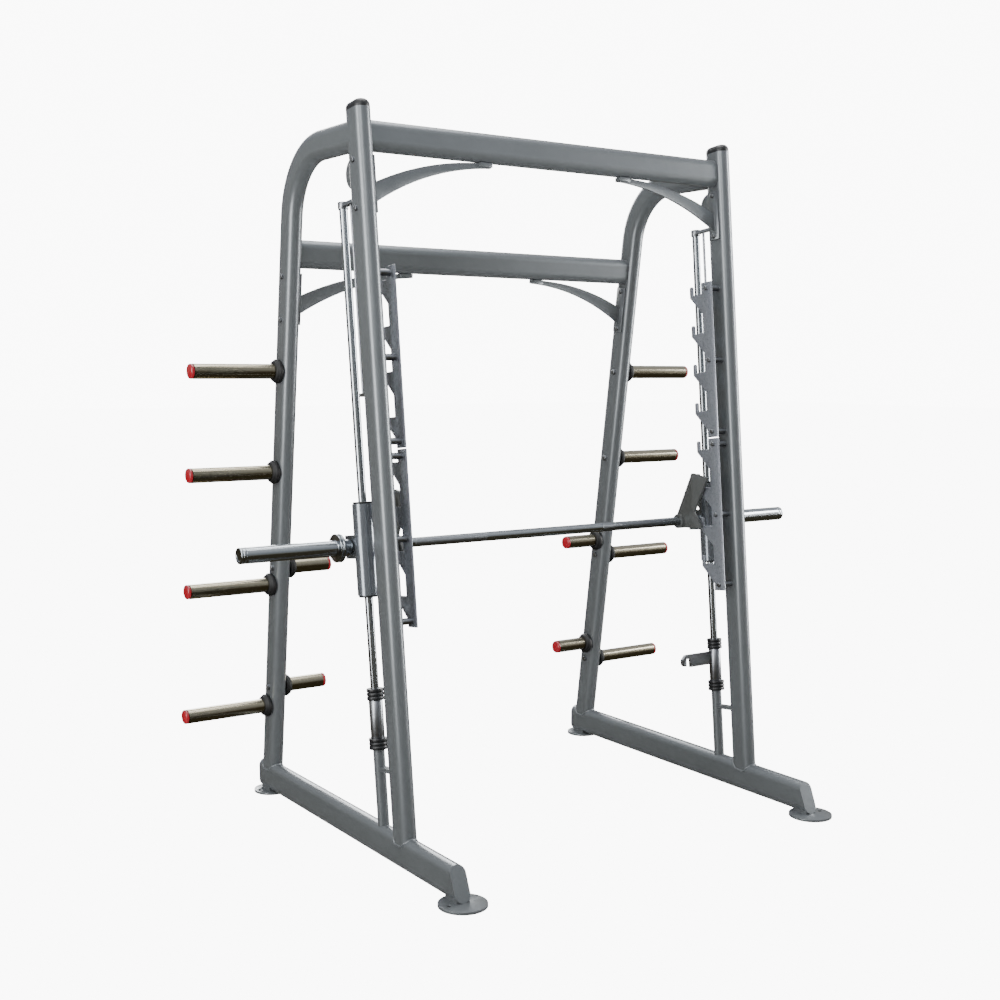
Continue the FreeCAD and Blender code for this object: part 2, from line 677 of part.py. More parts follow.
def add_carriage(side, shaft_room):
    """A carriage: a round housing on the guide rod with a block behind it that holds the bar."""
    x = side_x(side)
    base = "(bar_up - carriage_below + seal_thickness)"
    length = "(carriage_below + carriage_above - 2 * seal_thickness)"
    barrel = post(f"barrel_{side}", "front", x, "rod_back", base, "housing_radius", length)
    bore = post(f"barrel_bore_{side}", "front", x, "rod_back", base, "bearing_radius", length)
    holder = block(f"bar_holder_{side}", "front", x, "(rod_back + block_back) / 2", "bar_up",
                   "block_width", "block_back - rod_back", "block_height")
    rib_back = "rod_back + housing_radius - 2"
    rib = outline_plate(f"rib_{side}", "YZ_Plane",
                        [(rib_back, "rib_start"), (f"{rib_back} + rib_depth", "rib_start + rib_foot"),
                         (f"{rib_back} + rib_depth", "carriage_above - seal_thickness - rib_top_inset"),
                         (rib_back, "carriage_above - seal_thickness - rib_top_inset")],
                        "rib_thickness")
    place(rib, "front", x, "0", "bar_up")
    node(cut(f"carriage_{side}", fuse(f"carriage_joined_{side}", barrel, holder, rib), bore, shaft_room))
    bearings = []
    seals = []
    ends = ((base, f"{base} - seal_thickness"),
            (f"{base} + {length} - bearing_length", f"{base} + {length}"))
    for number, (bearing_base, seal_base) in enumerate(ends):
        bearings.append(cut(f"bearing_{side}_{number}",
                            post(f"bearing_blank_{side}_{number}", "front", x, "rod_back", bearing_base,
                                 "bearing_radius", "bearing_length"),
                            post(f"bearing_bore_{side}_{number}", "front", x, "rod_back", bearing_base,
                                 "rod_radius + fit_gap", "bearing_length")))
        seals.append(cut(f"seal_{side}_{number}",
                         post(f"seal_blank_{side}_{number}", "front", x, "rod_back", seal_base,
                              "seal_radius", "seal_thickness"),
                         post(f"seal_bore_{side}_{number}", "front", x, "rod_back", seal_base,
                              "rod_radius + seal_gap", "seal_thickness")))
    bush = cut(f"bush_{side}", cross(f"bush_blank_{side}", "front", x, "bar_back", "bar_up",
                                     "bush_radius", "block_width"),
               cross(f"bush_bore_{side}", "front", x, "bar_back", "bar_up", "bar_radius + fit_gap",
                     "block_width"))
    return bearings, seals, bush


PIN_BACK = "(pin_back - bar_back)"
PIN_UP = "(pin_up - bar_up)"
# Back and up from the bar: a straight lever from the bar to the latch pin, with a toe at its foot.
ARM_POINTS = [("arm_root_back", "arm_root_up"), (f"{PIN_BACK} + pin_boss_radius", PIN_UP),
              (PIN_BACK, f"{PIN_UP} + pin_boss_radius"), ("-arm_head_front", "arm_head_up"),
              ("-arm_waist_front", "arm_waist_up"), ("-arm_toe_front", "arm_toe_length - arm_toe_drop"),
              ("-arm_toe_front", "-arm_toe_drop"), ("-arm_instep", "-arm_toe_drop"),
              ("0", "arm_toe_length / 2 - hub_radius"), ("arm_root_back", "-arm_root_up")]


def add_hook_arm(side, shaft):
    """A folded hook arm clamped on the bar just inboard of the racks."""
    x = side_x(side, "frame_spacing / 2 - arm_inset")
    plate = outline_plate(f"arm_plate_{side}", "YZ_Plane", ARM_POINTS, "arm_thickness")
    place(plate, "front", x, "bar_back", "bar_up")
    hub = cross(f"arm_hub_{side}", "front", x, "bar_back", "bar_up", "hub_radius", "hub_length")
    boss = cross(f"arm_boss_{side}", "front", x, "pin_back", "pin_up", "pin_boss_radius",
                 "arm_thickness")
    node(cut(f"hook_arm_{side}", fuse(f"arm_joined_{side}", plate, hub, boss), shaft))
    near = "(frame_spacing / 2 - arm_inset + arm_thickness / 2)"
    far = f"({RACK} + rack_thickness / 2 + pin_past_rack)"
    return cross(f"latch_pin_{side}", "front", side_x(side, f"({near} + {far}) / 2"), "pin_back",
                 "pin_up", "pin_radius", f"{far} - {near}")


def add_sleeve(side):
    """A plate sleeve with its flange, two bushings on the shaft and an end cap."""
    def ring(name, start, end, outer, inner):
        middle = side_x(side, f"(({start}) + ({end})) / 2")
        blank = cross(f"{name}_blank", "front", middle, "bar_back", "bar_up", outer, f"{end} - ({start})")
        bore = cross(f"{name}_bore", "front", middle, "bar_back", "bar_up", inner, f"{end} - ({start})")
        return blank, bore
    end = "(bar_reach - sleeve_cap)"
    tube, bore = ring(f"sleeve_{side}", "flange_start", end, "sleeve_radius", "sleeve_bore")
    disc, _ = ring(f"sleeve_disc_{side}", "sleeve_start - flange_disc", "sleeve_start",
                   "flange_radius", "sleeve_bore")
    neck, _ = ring(f"sleeve_neck_{side}", "flange_start", "sleeve_start", "neck_radius", "sleeve_bore")
    node(cut(f"sleeve_{side}", fuse(f"sleeve_joined_{side}", tube, disc, neck), bore))
    near = cut(f"sleeve_bush_near_{side}", *ring(f"bush_near_{side}", "flange_start",
               "flange_start + sleeve_bush_length", "sleeve_bore", "bar_radius + fit_gap"))
    far = cut(f"sleeve_bush_far_{side}", *ring(f"bush_far_{side}", f"{end} - sleeve_bush_length", end,
              "sleeve_bore", "bar_radius + fit_gap"))
    node(group(f"sleeve_bushes_{side}", [near, far]))
    node(cross(f"sleeve_cap_{side}", "front", side_x(side, "bar_reach - sleeve_cap / 2"), "bar_back",
               "bar_up", "sleeve_radius", "sleeve_cap"))


def add_stopper(side):
    """A stopper: a ringed guide that slides on the rod and a catch that turns on the guide."""
    x = side_x(side)
    base = "(support_top + stopper_gap)"
    middle = f"({base} + stopper_low_ring)"
    top = f"({middle} + stopper_sleeve)"
    bore = post(f"guide_bore_{side}", "front", x, "rod_back", base, "rod_radius + stopper_fit",
                "stopper_low_ring + stopper_sleeve + stopper_high_ring")
    liner = post(f"liner_{side}", "front", x, "rod_back", base, "liner_radius",
                 "stopper_low_ring + stopper_sleeve + stopper_high_ring")
    low = post(f"low_ring_{side}", "front", x, "rod_back", base, "low_ring_radius", "stopper_low_ring")
    high = post(f"high_ring_{side}", "front", x, "rod_back", top, "high_ring_radius",
                "stopper_high_ring")
    node(cut(f"stopper_guide_{side}", fuse(f"guide_joined_{side}", liner, low, high), bore))
    shell = post(f"catch_shell_{side}", "front", x, "rod_back", f"{middle} + turning_gap",
                 "stopper_radius", "stopper_sleeve - 2 * turning_gap")
    room = post(f"catch_room_{side}", "front", x, "rod_back", middle, "liner_radius + stopper_fit",
                "stopper_sleeve")
    inward = -SIDES[side]
    outline = [("0", "0"), ("catch_slot_start", "0"), ("catch_slot_start", "catch_slot_depth"),
               ("catch_slot_end", "catch_slot_depth"), ("catch_slot_end", "catch_tip_rise"),
               ("catch_reach - catch_bevel", "catch_tip_rise"),
               ("catch_reach", "catch_tip_rise + catch_bevel"),
               ("catch_reach", "catch_height - 2 * catch_bevel"),
               ("catch_reach - 2 * catch_bevel", "catch_height"), ("0", "catch_height")]
    points = [(f"{inward} * ({across})", upward) for across, upward in outline]
    arm = outline_plate(f"catch_arm_{side}", "XZ_Plane", points, "catch_thickness",
                        f"catch_turn_{side}")
    place(arm, "front", x, "rod_back", f"{base} + catch_low")
    node(cut(f"stopper_catch_{side}", fuse(f"catch_joined_{side}", shell, arm), room))


def build():
    """Make every sub-part."""
    noses, tails, caps, straps, ties, gussets = [], [], [], [], [], []
    arch_bolts, spacers, rack_bolts = [], [], []
    uprights, rears = {}, {}
    for side in SIDES:
        beam, nose, tail = add_floor_beam(side)
        noses.append(nose)
        tails.append(tail)
        add_foot(f"front_foot_{side}", side, f"({FRONT_Y} - front_overhang)", "front_foot_radius",
                 "saddle_setback", beam, nose)
        add_foot(f"rear_foot_{side}", side, f"({REAR_Y} + rear_overhang)", "rear_foot_radius",
                 "0", beam, tail)
        uprights[side], cap = add_upright(side, beam)
        caps.append(cap)
        rears[side] = add_rear_upright(side, beam, uprights[side])
        blank = cross(f"gusset_blank_{side}", "front", side_x(side), "tube_depth / 2",
                      f"{FRONT_CROSS_UP} - tube_depth / 2 - gusset_drop", "gusset_radius",
                      "gusset_thickness")
        gussets.append(cut(f"gusset_{side}", blank, uprights[side]))
        strap, tie = add_guide_rod(side, beam, uprights[side])
        straps.append(strap)
        ties.append(tie)
        side_spacers, side_bolts = add_rack(side)
        spacers += side_spacers
        rack_bolts += side_bolts
        arch_bolts += add_arch(f"front_arch_{side}", "front", side, FRONT_CROSS_UP, uprights[side])
        arch_bolts += add_arch(f"rear_arch_{side}", "rear", side, REAR_CROSS_UP, rears[side])
    add_crossbeam("front_crossbeam", "front", FRONT_CROSS_UP, [*uprights.values(), *rears.values()])
    add_crossbeam("rear_crossbeam", "rear", REAR_CROSS_UP, rears.values())
    node(group("nose_plates", noses))
    node(group("tail_plates", tails))
    node(group("upright_caps", caps))
    node(group("gussets", gussets))
    node(group("rod_straps", straps))
    node(group("tie_rods", ties))
    node(group("rack_spacers", spacers))
    node(group("rack_bolts", rack_bolts))
    node(group("arch_bolts", arch_bolts))
    add_horns()

    shaft = cross("bar_shaft", "front", "0", "bar_back", "bar_up", "bar_radius",
                  "2 * (bar_reach - sleeve_cap - bar_end_gap)")
    node(shaft)
    shaft_room = cross("shaft_room", "front", "0", "bar_back", "bar_up", "bush_radius",
                       "frame_spacing + 2 * block_width")
    bearings, seals, bushes, pins = [], [], [], []
    for side in SIDES:
        side_bearings, side_seals, bush = add_carriage(side, shaft_room)
        bearings += side_bearings
        seals += side_seals
        bushes.append(bush)
        pins.append(add_hook_arm(side, shaft))
        add_sleeve(side)
        add_stopper(side)
    node(group("linear_bearings", bearings))
    node(group("bearing_seals", seals))
    node(group("bar_bushes", bushes))
    node(group("latch_pins", pins))


def check_and_write():
    """Stop on any failed object or bad shape, then write every sub-part."""
    doc.recompute()
    for item in doc.Objects:
        if "Invalid" in item.State or "Error" in item.State:
            raise RuntimeError(f"{item.Name} failed: {item.State}")
    for item in nodes:
        if item.Shape.isNull() or not item.Shape.isValid() or not item.Shape.Solids:
            raise RuntimeError(f"{item.Label} has a bad shape")
    os.makedirs("parts", exist_ok=True)
    for item in nodes:
        item.Shape.exportStep(f"parts/{item.Label}.step")
        box = item.Shape.BoundBox
        print(f"{item.Label}: {len(item.Shape.Solids)} solid(s), {box.XMin:.0f} {box.YMin:.0f}"
              f" {box.ZMin:.0f} to {box.XMax:.0f} {box.YMax:.0f} {box.ZMax:.0f}")
    print(f"{len(nodes)} sub-parts")


build()
check_and_write()
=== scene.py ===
# %% [markdown]
# A smith machine is a barbell that runs on two guide rods inside a welded steel frame. The load-bearing
# shapes come from a finished CAD model, which stays fixed. Here each surface gets its finish, and the
# pieces whose charm is in small roundings are made again as smooth surfaces in the same places.

import json
import math

import bmesh
import bpy
import numpy as np
from mathutils import Matrix, Vector


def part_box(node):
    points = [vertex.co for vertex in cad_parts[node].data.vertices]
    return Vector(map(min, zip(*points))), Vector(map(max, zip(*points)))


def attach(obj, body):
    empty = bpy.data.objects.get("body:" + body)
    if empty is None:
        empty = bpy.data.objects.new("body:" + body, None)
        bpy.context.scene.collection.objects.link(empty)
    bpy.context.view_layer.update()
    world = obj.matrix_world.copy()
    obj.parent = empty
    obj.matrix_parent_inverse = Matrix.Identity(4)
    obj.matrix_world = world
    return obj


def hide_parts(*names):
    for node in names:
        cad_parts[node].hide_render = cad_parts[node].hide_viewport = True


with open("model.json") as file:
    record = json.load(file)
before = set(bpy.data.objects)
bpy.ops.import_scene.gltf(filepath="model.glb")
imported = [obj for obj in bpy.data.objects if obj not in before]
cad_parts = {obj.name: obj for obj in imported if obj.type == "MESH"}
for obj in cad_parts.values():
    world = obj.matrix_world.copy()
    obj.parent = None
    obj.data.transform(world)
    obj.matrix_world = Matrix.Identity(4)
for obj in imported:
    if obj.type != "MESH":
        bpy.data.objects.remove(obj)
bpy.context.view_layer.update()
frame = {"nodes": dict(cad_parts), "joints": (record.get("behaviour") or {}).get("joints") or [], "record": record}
record = frame["record"]

# %% [markdown]
# Two directions describe almost everything on this machine: the lean of the front uprights, along
# which the bar slides, and the opposite lean of the rear uprights, which carry the storage horns.
# The slide joint gives the first, and the top and bottom storage horns give the second.

# %% Find the two leaning frames of reference
MM = 0.001
joints = {joint["name"]: joint for joint in frame["joints"]}
mounts = {mount["name"]: np.array(mount["pos_m"]) for mount in record["mounts"]}
mount_length = {mount["name"]: mount["dims"].get("length_mm") for mount in record["mounts"]}

ALONG_BAR = np.array([1.0, 0.0, 0.0])
FRONT_UP = np.array(joints["bar_slide"]["axis"], float)
FRONT_UP /= np.linalg.norm(FRONT_UP)
FRONT_BACK = np.cross(FRONT_UP, ALONG_BAR)
BAR_CENTRE = np.array(joints["bar_turn"]["pos_m"], float)

horn_line = mounts["storage_horn_top_right"] - mounts["storage_horn_bottom_right"]
REAR_UP = horn_line / np.linalg.norm(horn_line)
print("front lean:", round(math.degrees(math.atan2(FRONT_UP[1], FRONT_UP[2])), 2),
      "rear lean:", round(math.degrees(math.atan2(REAR_UP[1], REAR_UP[2])), 2))

# %% [markdown]
# Each upright stands on a floor beam and is welded there. The weld needs the exact place, so it is
# worked out: a line down the upright, from a piece whose place is known, is cut by the beam's top.

# %% Where the uprights meet the floor beams
BEAM_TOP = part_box("floor_beam_right")[1][2]


def foot_below(point, up):
    """The Y where a line through a point, along a frame's up direction, reaches the beam's top."""
    return point[1] - up[1] / up[2] * (point[2] - BEAM_TOP)


cap_centre = sum((np.array(corner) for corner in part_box("upright_caps"))) / 2
FRONT_FOOT = foot_below(cap_centre, FRONT_UP)
REAR_FOOT = foot_below(mounts["storage_horn_top_right"], REAR_UP)
print("front foot at", round(FRONT_FOOT, 4), "rear foot at", round(REAR_FOOT, 4))

# %% [markdown]
# The camera stands at about shoulder height in front of the machine, to its left. Its optical axis
# points slightly down and the film is shifted, as with a view camera, to centre the frame.

# %% Camera
AZIMUTH, ELEVATION, ROLL = math.radians(-34.39), math.radians(9.88), math.radians(0.31)
CAMERA_PLACE = (-2.6244, -3.6152, 1.4831)
LENS_LENGTH, FILM_WIDTH, FILM_SHIFT = 48.78, 36.0, 0.1003
camera_data = bpy.data.cameras.new("camera")
camera_data.lens = LENS_LENGTH
camera_data.sensor_width = FILM_WIDTH
camera_data.shift_y = FILM_SHIFT
camera = bpy.data.objects.new("camera", camera_data)
bpy.context.scene.collection.objects.link(camera)
away = Vector((math.sin(AZIMUTH) * math.cos(ELEVATION), -math.cos(AZIMUTH) * math.cos(ELEVATION),
               math.sin(ELEVATION)))
level = Vector((math.cos(AZIMUTH), math.sin(AZIMUTH), 0.0))
upward = away.cross(level)
right = level * math.cos(ROLL) + upward * math.sin(ROLL)
turn = Matrix((right, away.cross(right), away)).transposed()
camera.matrix_world = Matrix.Translation(CAMERA_PLACE) @ turn.to_4x4()
bpy.context.scene.camera = camera
print("camera at", [round(c, 3) for c in camera.location])

# %% [markdown]
# Colours are written here as hex values, but light adds up in linear numbers, so one function turns
# the first into the second. Every finish is a small tree of nodes, and one function adds a node with
# its settings and links, so that each tree reads as a list.

# %% Colours and nodes
def colour(text):
    """An sRGB hex value as linear red, green, blue and 1: each channel divided by 255, then the
    sRGB curve undone."""
    channels = [int(text[i:i + 2], 16) / 255 for i in (1, 3, 5)]
    linear = [c / 12.92 if c <= 0.04045 else ((c + 0.055) / 1.055) ** 2.4 for c in channels]
    return (*linear, 1.0)


def add_node(tree, kind, inputs=None, **settings):
    """Add one node, set its properties, and give each input, by name or number, a constant or link
    it to a socket."""
    made = tree.nodes.new(kind)
    for name, value in settings.items():
        setattr(made, name, value)
    for name, value in (inputs or {}).items():
        if isinstance(value, bpy.types.NodeSocket):
            tree.links.new(value, made.inputs[name])
        else:
            made.inputs[name].default_value = value
    return made


print("steel grey is", [round(c, 3) for c in colour("#6F7578")])

# %% [markdown]
# A pale floor and a bright surround keep the picture calm. Polished steel shows only what it
# reflects, so the surround that reflections see is darker and warmer towards the horizon and below
# than the one the camera sees. That is what draws the dark bands along a chrome tube, as black cards
# do in a studio.

# %% Floor and surround
FLOOR_HALF = 40.0
SEEN_WHITE, FELT_SKY, MIRRORED_FLOOR = 10.0, 1.1, 0.42
FLOOR_GLOW = 0.95


def make_floor():
    """A flat pale square of ground, centred under the machine. It glows a little towards the camera,
    as an over-lit white sweep does, and is darker in reflections."""
    h = FLOOR_HALF
    mesh = bpy.data.meshes.new("floor")
    mesh.from_pydata([(-h, -h, 0), (h, -h, 0), (h, h, 0), (-h, h, 0)], [], [(0, 1, 2, 3)])
    floor = bpy.data.objects.new("floor", mesh)
    bpy.context.scene.collection.objects.link(floor)
    paint = bpy.data.materials.new("studio floor")
    paint.use_nodes = True
    tree = paint.node_tree
    tree.nodes.clear()
    ray = add_node(tree, "ShaderNodeLightPath")
    matt = add_node(tree, "ShaderNodeBsdfDiffuse", {"Color": colour("#FBFBFB")})
    glow = add_node(tree, "ShaderNodeEmission", {"Color": (1, 1, 1, 1), "Strength": SEEN_WHITE})
    seen = add_node(tree, "ShaderNodeMixShader", {0: FLOOR_GLOW, 1: matt.outputs[0],
                                                  2: glow.outputs[0]})
    dim = add_node(tree, "ShaderNodeEmission", {"Color": colour("#6E6650"),
                                                "Strength": MIRRORED_FLOOR})
    mirrored = add_node(tree, "ShaderNodeMixShader", {0: ray.outputs["Is Glossy Ray"],
                                                      1: matt.outputs[0], 2: dim.outputs[0]})
    chosen = add_node(tree, "ShaderNodeMixShader", {0: ray.outputs["Is Camera Ray"],
                                                    1: mirrored.outputs[0], 2: seen.outputs[0]})
    add_node(tree, "ShaderNodeOutputMaterial", {"Surface": chosen.outputs[0]})
    mesh.materials.append(paint)


def make_surround():
    """White to the camera. To reflections and shading it is a sky that runs from a warm dark
    horizon to a bright overhead."""
    world = bpy.data.worlds.new("surround")
    world.use_nodes = True
    bpy.context.scene.world = world
    tree = world.node_tree
    tree.nodes.clear()
    where = add_node(tree, "ShaderNodeTexCoord")
    height = add_node(tree, "ShaderNodeSeparateXYZ", {"Vector": where.outputs["Generated"]})
    fade = add_node(tree, "ShaderNodeValToRGB", {"Fac": height.outputs["Z"]})
    horizon, overhead = fade.color_ramp.elements
    horizon.position, horizon.color = 0.0, colour("#8E8B80")
    overhead.position, overhead.color = 0.9, colour("#F2F5FA")
    fade.color_ramp.elements.new(0.3).color = colour("#A4A8AE")
    ray = add_node(tree, "ShaderNodeLightPath")
    seen = add_node(tree, "ShaderNodeBackground", {"Color": (1, 1, 1, 1), "Strength": SEEN_WHITE})
    felt = add_node(tree, "ShaderNodeBackground", {"Color": fade.outputs["Color"],
                                                   "Strength": FELT_SKY})
    mix = add_node(tree, "ShaderNodeMixShader", {0: ray.outputs["Is Camera Ray"], 1: felt.outputs[0],
                                                 2: seen.outputs[0]})
    add_node(tree, "ShaderNodeOutputWorld", {"Surface": mix.outputs[0]})


make_floor()
make_surround()
print("floor side, metres:", 2 * FLOOR_HALF)

# %% [markdown]
# Five soft boxes light the steel. The long strip to the right of the camera is the one that draws a
# pale streak down each rounded front edge; the others fill, and lift the top tubes.

# %% Lights
AIM_HEIGHT = 1.1


def add_light(name, place, wide, tall, power):
    """A rectangular soft box aimed at the middle of the machine. Places and sizes are in metres,
    power in watts."""
    data = bpy.data.lights.new(name, "AREA")
    data.shape = "RECTANGLE"
    data.size, data.size_y = wide, tall
    data.energy = power
    light = bpy.data.objects.new(name, data)
    bpy.context.scene.collection.objects.link(light)
    aim = Vector((0, 0, AIM_HEIGHT)) - Vector(place)
    light.matrix_world = Matrix.Translation(place) @ aim.to_track_quat("-Z", "Y").to_matrix().to_4x4()


add_light("strip", (5.2, -2.0, 2.2), 1.4, 4.0, 430)
add_light("side card", (-5.0, -0.8, 2.0), 2.0, 3.6, 240)
add_light("key", (-4.2, -3.6, 4.6), 2.2, 2.2, 110)
add_light("top", (0.0, 0.5, 5.5), 3.5, 3.5, 210)
add_light("rim", (1.5, 5.0, 3.2), 2.5, 2.5, 260)
print("lights:", len(bpy.data.lights))

# %% [markdown]
# Most of the machine is steel with a baked powder coat: epoxy-polyester dust with fine aluminium
# flake, melted in an oven. It has a soft sheen, a faint orange-peel relief a few millimetres across
# and tiny sparkling flakes.

# %% Finishes for painted steel
finishes = {}


def finish_named(name, base, metallic, roughness, **extra):
    """A new material with its Principled shader's own constants set. Returns its tree, shader and
    Object coordinates."""
    made = bpy.data.materials.new(name)
    made.use_nodes = True
    tree = made.node_tree
    shader = tree.nodes["Principled BSDF"]
    shader.inputs["Base Color"].default_value = colour(base)
    shader.inputs["Metallic"].default_value = metallic
    shader.inputs["Roughness"].default_value = roughness
    for socket, number in extra.items():
        shader.inputs[socket.replace("_", " ")].default_value = number
    finishes[name] = made
    where = add_node(tree, "ShaderNodeTexCoord").outputs["Object"]
    return tree, shader, where


PEEL, DRIFT, FLAKE = 2.5, 180, 1.6
PEEL_STRENGTH, PEEL_DEPTH = 0.12, 0.25
COAT_WEIGHT, COAT_ROUGHNESS = 0.2, 0.2


def powder_coat(name, base, deep, roughness=0.34, metallic=0.6):
    """Powder coat: its colour drifts between two close tones over a hand's width, flakes vary the
    roughness, and blobs about 2.5 mm wide give the orange-peel relief. Real flakes are under 0.1 mm
    across; these are 1.6 mm apart, so that they show."""
    tree, shader, where = finish_named(name, base, metallic, roughness, Coat_Weight=COAT_WEIGHT,
                                       Coat_Roughness=COAT_ROUGHNESS)
    drift = add_node(tree, "ShaderNodeTexNoise", {"Vector": where, "Scale": 1 / (DRIFT * MM),
                                                  "Detail": 3.0})
    tone = add_node(tree, "ShaderNodeMix", {0: drift.outputs[0], 6: colour(deep), 7: colour(base)},
                    data_type="RGBA")
    tree.links.new(tone.outputs[2], shader.inputs["Base Color"])
    flake = add_node(tree, "ShaderNodeTexVoronoi", {"Vector": where, "Scale": 1 / (FLAKE * MM)})
    sparkle = add_node(tree, "ShaderNodeMapRange", {
        "Value": flake.outputs["Color"], "To Min": roughness - 0.06, "To Max": roughness + 0.08})
    tree.links.new(sparkle.outputs[0], shader.inputs["Roughness"])
    peel = add_node(tree, "ShaderNodeTexNoise", {"Vector": where, "Scale": 1 / (PEEL * MM),
                                                 "Detail": 2.0})
    relief = add_node(tree, "ShaderNodeBump", {"Height": peel.outputs[0], "Strength": PEEL_STRENGTH,
                                               "Distance": PEEL_DEPTH * MM})
    tree.links.new(relief.outputs[0], shader.inputs["Normal"])


powder_coat("silver powder coat", "#6C7073", "#636769")
powder_coat("glossy silver powder coat", "#797E84", "#70757B", 0.2, 0.75)
powder_coat("pale powder coat", "#868A91", "#7B7F86", 0.3)
powder_coat("graphite powder coat", "#565857", "#4C4E4D", 0.38, 0.5)
print("painted finishes:", len(finishes))

# %% [markdown]
# The tubes that plates slide on are hard chrome over polished steel. The grip zones of the bar are
# rolled with a diamond knurl, and small fasteners are zinc plated, which is duller and slightly
# mottled. Plastics and rubber carry only the fine grain of their mould.

# %% Finishes for bare metal, plastic and rubber
RUB, MOTTLE = 12, 7
RUB_STRENGTH, RUB_DEPTH, GRAIN_DEPTH = 0.04, 0.05, 0.2


def polished(name, base, worn, roughness, scratch):
    """Plated metal: a near mirror. Rubbing marks about 12 mm long vary its roughness, and blobs
    about 7 mm wide give its two close tones and its slight waviness."""
    tree, shader, where = finish_named(name, base, 1.0, roughness)
    rubbing = add_node(tree, "ShaderNodeTexNoise", {"Vector": where, "Scale": 1 / (RUB * MM),
                                                    "Detail": 5.0})
    marks = add_node(tree, "ShaderNodeMapRange", {
        "Value": rubbing.outputs[0], "To Min": roughness, "To Max": roughness + scratch})
    tree.links.new(marks.outputs[0], shader.inputs["Roughness"])
    mottle = add_node(tree, "ShaderNodeTexNoise", {"Vector": where, "Scale": 1 / (MOTTLE * MM),
                                                   "Detail": 3.0})
    tone = add_node(tree, "ShaderNodeMix", {0: mottle.outputs[0], 6: colour(base), 7: colour(worn)},
                    data_type="RGBA")
    tree.links.new(tone.outputs[2], shader.inputs["Base Color"])
    waves = add_node(tree, "ShaderNodeTexNoise", {"Vector": where, "Scale": 1 / (MOTTLE * MM),
                                                  "Detail": 2.0})
    relief = add_node(tree, "ShaderNodeBump", {"Height": waves.outputs[0], "Strength": RUB_STRENGTH,
                                               "Distance": RUB_DEPTH * MM})
    tree.links.new(relief.outputs[0], shader.inputs["Normal"])


def moulded(name, base, deep, roughness, grain, depth, **extra):
    """Moulded plastic or rubber: the fine grain of its mould, this many millimetres wide, in relief
    and in the roughness, and two close tones in patches ten times as wide."""
    tree, shader, where = finish_named(name, base, 0.0, roughness, **extra)
    skin = add_node(tree, "ShaderNodeTexNoise", {"Vector": where, "Scale": 1 / (grain * MM),
                                                 "Detail": 3.0})
    gloss = add_node(tree, "ShaderNodeMapRange", {
        "Value": skin.outputs[0], "To Min": roughness - 0.05, "To Max": roughness + 0.08})
    tree.links.new(gloss.outputs[0], shader.inputs["Roughness"])
    patches = add_node(tree, "ShaderNodeTexNoise", {"Vector": where, "Scale": 1 / (10 * grain * MM),
                                                    "Detail": 2.0})
    tone = add_node(tree, "ShaderNodeMix", {0: patches.outputs[0], 6: colour(deep), 7: colour(base)},
                    data_type="RGBA")
    tree.links.new(tone.outputs[2], shader.inputs["Base Color"])
    relief = add_node(tree, "ShaderNodeBump", {"Height": skin.outputs[0], "Strength": depth,
                                               "Distance": GRAIN_DEPTH * MM})
    tree.links.new(relief.outputs[0], shader.inputs["Normal"])


polished("hard chrome", "#A9AEB2", "#9A9FA3", 0.13, 0.1)
# The horns' warm olive base and worn tones are painted reflection of a warm surround, not a tint of the plating.
polished("horn chrome with painted warm reflection", "#9C9684", "#8E8774", 0.15, 0.1)
polished("knurled steel", "#8E9296", "#82868A", 0.3, 0.12)
polished("zinc plate", "#9DA0A4", "#8F9296", 0.28, 0.14)
polished("sintered bronze", "#8C6F42", "#7E6238", 0.34, 0.12)
moulded("red acrylonitrile plastic", "#8E0215", "#7C0211", 0.3, 6.0, 0.05, Coat_Weight=0.35,
        Coat_Roughness=0.08)
moulded("black nylon", "#0E1114", "#08090B", 0.4, 1.2, 0.25, IOR=1.53)
moulded("black rubber", "#0C0D0E", "#070808", 0.6, 1.5, 0.4, IOR=1.52)

print("finishes so far:", len(finishes))

# %% [markdown]
# Every CAD node names the material slot that it is made of, and each slot has its finish. Three
# nodes get one of their own: the horns, whose chrome has a warm olive base colour that is painted
# reflection, and the two carriages, whose coat is glossier than the frame's.

# %% Give each node its finish
BY_SLOT = {"frame_paint": "silver powder coat", "rack_paint": "pale powder coat",
           "dark_paint": "graphite powder coat", "chrome": "hard chrome", "steel": "zinc plate",
           "bronze": "sintered bronze", "red_plastic": "red acrylonitrile plastic",
           "black_plastic": "black nylon", "black_rubber": "black rubber"}
slot_of = {part["node"]: part["material_slot"] for part in record["subparts"]}
body_of = {node: body for body, members in record["behaviour"]["bodies"].items() for node in members}
for node, slot in slot_of.items():
    mesh = frame["nodes"][node].data
    mesh.materials.clear()
    mesh.materials.append(finishes[BY_SLOT[slot]])
SPECIAL = {"horns": "horn chrome with painted warm reflection", "carriage_left": "glossy silver powder coat",
           "carriage_right": "glossy silver powder coat"}
for node, finish in SPECIAL.items():
    frame["nodes"][node].data.materials[0] = finishes[finish]
print("finishes:", len(finishes), "on", len(slot_of), "nodes")

# %% [markdown]
# Sheared plates and sawn tubes never have razor edges: they are deburred and the powder coat rounds
# them further. Light catches those roundings, so each plate is made again here as a copy of its CAD
# shape with a small bevel. The copy's triangles are merged first, and flat neighbours joined into
# whole faces, so the bevel follows only real edges.

# %% Ease the edges of plates
EASED = {"gussets": 2.0, "rod_straps": 1.2}
for side in ("left", "right"):
    EASED.update({f"rack_upper_{side}": 1.5, f"rack_lower_{side}": 1.5, f"hook_arm_{side}": 1.6,
                  f"stopper_catch_{side}": 1.2, f"rod_cap_{side}": 1.5,
                  f"front_arch_{side}": 1.2, f"rear_arch_{side}": 1.2, f"front_foot_{side}": 1.4,
                  f"rear_foot_{side}": 1.4})
SHARP, FLAT = math.radians(32), math.radians(1.0)


